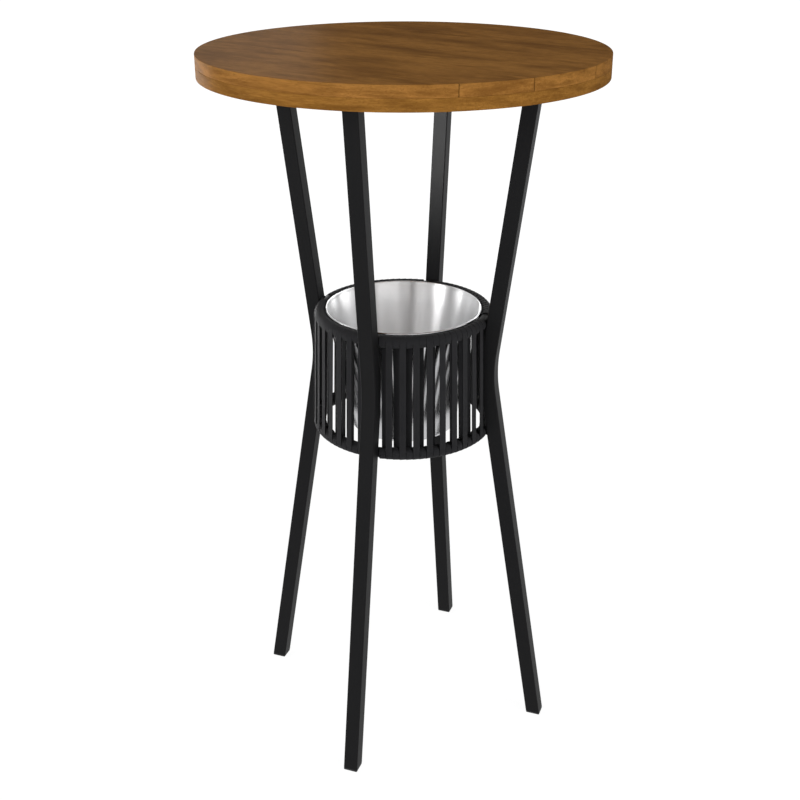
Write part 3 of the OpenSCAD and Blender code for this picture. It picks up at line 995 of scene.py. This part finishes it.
def route(first_inside):
    """All points of one quarter's strap, whose ends are tucked in half-way round a ring."""
    visits = [(not first_inside, 0, FIRST_FROM, 1)]
    visits += [((place % 2 == 0) == first_inside, place, 0, 1) for place in range(PLACES - 1)]
    visits += [(first_inside, PLACES - 1, 0, LAST_TO)]
    points = []
    for details in visits:
        turns = list(visit(*details))
        if points:
            points += strand(points[-1], turns[0])
        points += turns
    return points


# %% The route as a line of points that carry their face direction
def route_mesh(name, first_inside, quarter, off_middle):
    """The line of one quarter. A hand winds it a little off the middle, by some degrees."""
    turn = Matrix.Rotation(quarter * math.pi / 2 + math.radians(off_middle), 3, "Z")
    points = [(turn @ p, turn @ n) for p, n in route(first_inside)]
    mesh = bpy.data.meshes.new(name)
    mesh.from_pydata([p for p, _ in points], [(i, i + 1) for i in range(len(points) - 1)], [])
    faces = mesh.attributes.new("face_out", "FLOAT_VECTOR", "POINT")
    faces.data.foreach_set("vector", np.array([n for _, n in points]).ravel())
    return mesh


# %% [markdown]
# Geometry Nodes turn such a line into strap: the line becomes a curve, its normals are taken from
# the stored directions, and a flat rounded outline is swept along it. The metres along the curve
# and across the outline are kept, and become the UV map that the weave reads.

# %% Keep a value on a shape under a name, and read it again
def kept(graph, shape, name, value, kind="FLOAT", domain="POINT"):
    settings = {"data_type": kind, "domain": domain}
    sockets = {"Geometry": shape, "Name": name, "Value": value}
    return graph.node("GeometryNodeStoreNamedAttribute", settings, sockets)


def read(graph, name, kind="FLOAT"):
    return graph.node("GeometryNodeInputNamedAttribute", {"data_type": kind}, {"Name": name})


# %% The tree that sweeps a strap
def strap_tree():
    graph, start, (width, thickness, finish) = start_tree(
        "swept_strap", Width=float, Thickness=float, Finish=bpy.types.Material
    )
    line = graph.node("GeometryNodeMeshToCurve", {}, {"Mesh": start})
    sockets = {"Curve": line, "Normal": read(graph, "face_out", "FLOAT_VECTOR")}
    line = graph.node("GeometryNodeSetCurveNormal", {"mode": "FREE"}, sockets)
    length = graph.node("GeometryNodeSplineParameter", out="Length")
    line = kept(graph, line, "along", length)

    flat = rounded_outline(graph, thickness, width, thickness * 0.42, 3)
    place = graph.split(graph.node("GeometryNodeInputPosition"))
    flat = kept(graph, flat, "across", place.output("Y"))

    both = graph.joined(read(graph, "along"), read(graph, "across"))
    strap = kept(graph, swept(graph, line, flat), "strap", both, "FLOAT2", "CORNER")
    return end_tree(graph, strap, finish)


swept_strap = strap_tree()
print("strap tree nodes:", len(swept_strap.nodes))

# %% Wind the four quarters: name, whether it starts inside, quarter, and degrees off its middle
WINDINGS = (
    ("right_back", False, 0, 0.25), ("back_left", True, 1, 0.25),
    ("left_front", False, 2, 0.5), ("front_right", True, 3, -0.5),
)
for name, first_inside, quarter, off_middle in WINDINGS:
    line = route_mesh(f"{name}_line", first_inside, quarter, off_middle)
    strap = grow(f"{name}_strap", swept_strap, line,
                 Width=STRAP_W, Thickness=STRAP_T, Finish=strap_weave)
    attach(strap, "table")
    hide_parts(f"{name}_winding")
print("strap faces:", len(strap.data.polygons), "maps:", [m.name for m in strap.data.uv_layers])

# %% [markdown]
# ## The ice bucket
# The bucket was spun: a disc of steel pressed over a turning former. That leaves very fine rings
# round it, so a lamp's reflection is drawn out into an upright streak. The shader does this with
# anisotropy, turned a quarter so that the streak stands upright, and the tall lamps are there to
# feed it. A faint bump of rings adds the odd deeper line. The outside is smoother than the inside
# and a little darker, and mirrors the strands in front of it.

# %% Marks in the steel: fine and broad rings of spinning, and upright smears that also paint faint reflection streaks
bucket_steel, graph, shader = start_material(
    "spun_steel", Metallic=1.0, Anisotropic=0.97, Anisotropic_Rotation=0.25
)
place = graph.object_place()
parts = graph.split(place)
x, y, z = (parts.output(axis) for axis in "XYZ")
radius = (x * x + y * y).math("SQRT")
rings = graph.noise(graph.joined(radius * 2400, z * 2400), 3.0, 0.7)
broad = graph.noise(graph.joined(radius * 160, z * 160), 2.0, 0.5)
smear_and_streaks = graph.noise(graph.scaled(place, 26, 26, 5), 3.0, 0.6)

# %% The steel, smoother and darker where its face looks away from the axis
facing = graph.split(graph.node("ShaderNodeNewGeometry", out="Normal"))
outwards = x * facing.output("X") + y * facing.output("Y")
outside = graph.ramp(outwards * 5 + 0.5, (0.4, 0.0), (0.6, 1.0))
# The upright smears make the colour paler and darker in upright bands: painted reflection streaks,
# beside the real ones from the lamps.
bright = graph.blend(0.5 * smear_and_streaks + 0.5 * rings, colour(212, 212, 213), colour(234, 234, 234))
base = graph.blend(outside, bright, colour(190, 190, 192))
rough = 0.29 + 0.05 * rings + 0.05 * smear_and_streaks - 0.17 * outside
feed(graph, shader, Base_Color=base, Roughness=rough,
     Normal=bumped(graph, 0.5 * rings + 0.5 * broad, 0.02 * MM, 0.6))
print("bucket steel nodes:", len(graph.tree.nodes))

# %% [markdown]
# The shape is a section turned round the axis: flat base with a shallow stamped step, rounded
# corner, straight wall, and a rim that is rolled outwards over itself. The wall leans outwards, and
# the lean follows from the base's radius and the rim's.

# %% Sizes of the bucket's section, and how far its wall leans
WALL = 1.0 * MM
BASE_R = 0.085
BASE_ROUND = 9 * MM
RIM_BEAD_R = 1.75 * MM
STEP_R, STEP_IN, STEP_RUN = 0.064, 1.2 * MM, 4 * MM
SHOULDER, LIP_RISE, LIP_IN = 4.2 * MM, 1.4 * MM, 0.35 * WALL
CORNER_STEPS, WALL_STEPS, RIM_STEPS = 10, 6, 18

rim_r, rim_h = BUCKET_RIM_R - RIM_BEAD_R, BUCKET_TOP - RIM_BEAD_R
wall_top = rim_r - RIM_BEAD_R + WALL
lean = math.atan2(wall_top - BASE_R, rim_h - BUCKET_BOTTOM)
print(f"wall leans {math.degrees(lean):.2f} degrees, {wall_top / MM:.1f} mm radius at its top")


# %% Section of the bucket, from the middle of its base round the rim and back inside
def arc(centre, radius, first, last, steps):
    """Points of an arc in the section, by angles in degrees."""
    for i in range(steps + 1):
        turn = math.radians(first + (last - first) * i / steps)
        yield centre[0] + radius * math.cos(turn), centre[1] + radius * math.sin(turn)


def bucket_section():
    """The outside with the step, corner, wall and rim, and then the inside, back to the axis."""
    up_wall = Vector((math.sin(lean), math.cos(lean)))
    through_wall = Vector((math.cos(lean), -math.sin(lean)))
    step = [(0, STEP_IN), (STEP_R - STEP_RUN, STEP_IN), (STEP_R, 0)]
    run = BASE_ROUND * math.tan((math.pi / 2 - lean) / 2)
    centre = (BASE_R - run, BUCKET_BOTTOM + BASE_ROUND)
    along_wall = -math.degrees(lean)

    outside = [(r, BUCKET_BOTTOM + h) for r, h in step]
    outside += arc(centre, BASE_ROUND, -90, along_wall, CORNER_STEPS)
    wall_end = Vector((wall_top, rim_h)) - up_wall * SHOULDER
    wall_start = Vector(outside[-1])
    outside += [wall_start.lerp(wall_end, k / WALL_STEPS) for k in range(1, WALL_STEPS + 1)]
    outside += arc((rim_r, rim_h), RIM_BEAD_R, -120, 165, RIM_STEPS)

    inner_end = wall_end - through_wall * WALL
    inside = [wall_end + up_wall * LIP_RISE - through_wall * LIP_IN, inner_end]
    bottom = list(arc(centre, BASE_ROUND - WALL, along_wall, -90, CORNER_STEPS))
    inside += [inner_end.lerp(Vector(bottom[0]), k / WALL_STEPS) for k in range(1, WALL_STEPS)]
    inside += bottom
    inside += [(r, BUCKET_BOTTOM + WALL + h) for r, h in reversed(step)]
    return outside + inside


section = bucket_section()
print(len(section), "points in the bucket's section")


# %% Turn a section round the axis
def round_row(shape, radius, height, steps):
    """Corners of a circle about Z, or a single one where the circle shrinks to nothing."""
    if radius == 0:
        return [shape.verts.new((0, 0, height))]
    turns = [math.tau * i / steps for i in range(steps)]
    return [shape.verts.new((radius * math.cos(t), radius * math.sin(t), height)) for t in turns]


def turned(shape, section, steps):
    """Faces of revolution about Z through the points of a section. Its rows of corners."""
    rows = [round_row(shape, radius, height, steps) for radius, height in section]
    for one, two in zip(rows, rows[1:]):
        for i in range(steps):
            k = (i + 1) % steps
            corners = [one[i % len(one)], one[k % len(one)], two[k % len(two)], two[i % len(two)]]
            shape.faces.new(list(dict.fromkeys(corners)))
    return rows


# %% The bucket
TURN_STEPS = 160

shape = bmesh.new()
turned(shape, section, TURN_STEPS)
bmesh.ops.recalc_face_normals(shape, faces=shape.faces)
bucket = link_mesh("spun_bucket", mesh_of("spun_bucket", shape), bucket_steel)
bucket.data.shade_smooth()
bucket.data.set_sharp_from_angle(angle=SHARP_FROM)
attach(bucket, "bucket")
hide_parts("ice_bucket")
print("bucket faces:", len(bucket.data.polygons))

# %% [markdown]
# ## Screws
# Eight pan-head screws hold the cross frame to the panel. They are all alike, so one is modelled,
# as a pattern, and Geometry Nodes put it on eight points. The screw is turned like the bucket, and
# the flat end of its head is filled round a cross-shaped recess.

# %% Zinc-plated steel
screw_steel, graph, shader = start_material("zinc_screw_steel", Metallic=1.0)
scratch = graph.noise(graph.scaled(graph.object_place(), 900, 900, 300), 3.0, 0.6)
feed(graph, shader, Base_Color=graph.blend(scratch, colour(168, 168, 164), colour(206, 206, 204)),
     Roughness=0.24 + 0.2 * scratch, Normal=bumped(graph, scratch, 0.02 * MM, 0.5))
print("screw steel nodes:", len(graph.tree.nodes))

# %% Sizes of a screw, and its side from the tip down to the flat of its head
HEAD_R, HEAD_H = 4.0 * MM, 2.6 * MM
SHANK_R, SHANK_L, TIP_L = 2.0 * MM, 16 * MM, 2 * MM
HEAD_STEPS = 24
SCREW_SIDE = [
    (0, SHANK_L), (SHANK_R, SHANK_L - TIP_L), (SHANK_R, 0), (HEAD_R, 0),
    (HEAD_R, -0.45 * HEAD_H), (0.9 * HEAD_R, -0.8 * HEAD_H), (0.68 * HEAD_R, -HEAD_H),
]
print(f"shank {SHANK_L / MM:.0f} mm long, head {2 * HEAD_R / MM:.0f} mm across")

# %% Outline of the cross: one arm's three corners, turned four times
RECESS_HALF, RECESS_ARM, RECESS_DEEP = 0.45 * MM, 1.9 * MM, 1.3 * MM
RECESS_TAPER = 0.8

cross, arm = [], [(RECESS_HALF, RECESS_HALF), (RECESS_ARM, RECESS_HALF), (RECESS_ARM, -RECESS_HALF)]
for quarter in range(4):
    cross += arm
    arm = [(y, -x) for x, y in arm]
print(len(cross), "corners in the cross")


# %% One screw, pointing up, with its seat at the origin
def screw_pattern():
    shape = bmesh.new()
    rim = turned(shape, SCREW_SIDE, HEAD_STEPS)[-1]
    mouth = [shape.verts.new((x, y, -HEAD_H)) for x, y in cross]
    floor = [shape.verts.new((x * RECESS_TAPER, y * RECESS_TAPER, -HEAD_H + RECESS_DEEP))
             for x, y in cross]
    loops = [[corner.co.xy.to_3d() for corner in loop] for loop in (rim, mouth)]
    for triple in tessellate_polygon(loops):
        shape.faces.new([(rim + mouth)[i] for i in triple])
    for i in range(len(cross)):
        k = (i + 1) % len(cross)
        shape.faces.new((mouth[i], mouth[k], floor[k], floor[i]))
    shape.faces.new(floor)
    bmesh.ops.recalc_face_normals(shape, faces=shape.faces)
    return link_mesh("screw_pattern", mesh_of("screw_pattern", shape))


# %% Put the pattern on eight points
def repeat_tree():
    graph, start, (pattern, finish) = start_tree(
        "repeat_on_points", Pattern=bpy.types.Object, Finish=bpy.types.Material
    )
    sockets = {"Object": pattern, "As Instance": True}
    shape = graph.node("GeometryNodeObjectInfo", {}, sockets, out="Geometry")
    copies = graph.node("GeometryNodeInstanceOnPoints", {}, {"Points": start, "Instance": shape})
    return end_tree(graph, copies, finish)


SCREW_RS = (0.060, 0.150)
RAIL_WALL = 1.5 * MM
turns = [Matrix.Rotation(quarter * math.pi / 2, 3, "Z") for quarter in range(4)]
seats = [turn @ Vector((r, 0, UNDERSIDE - RAIL_WALL)) for turn in turns for r in SCREW_RS]
screw_points = bpy.data.meshes.new("screw_points")
screw_points.from_pydata(seats, [], [])
pattern = screw_pattern()
screws = grow("panel_screws", repeat_tree(), screw_points, weigh=False,
              Pattern=pattern, Finish=screw_steel)
bpy.data.objects.remove(pattern)
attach(screws, "table")
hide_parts("rail_screws")
print("screw faces:", len(screws.data.polygons))

# %% [markdown]
# ## The size
# The dressed model has to fill the same box as the construction. How far its box reaches past
# the construction's box on each side is printed, in millimetres.

# %% Print how far the dressed model's box reaches past the construction's
low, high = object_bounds()
grown = [(b - a) / MM for a, b in zip([*low, *cad_high], [*cad_low, *high])]
print("grown by", [round(size, 2) for size in grown], "mm")
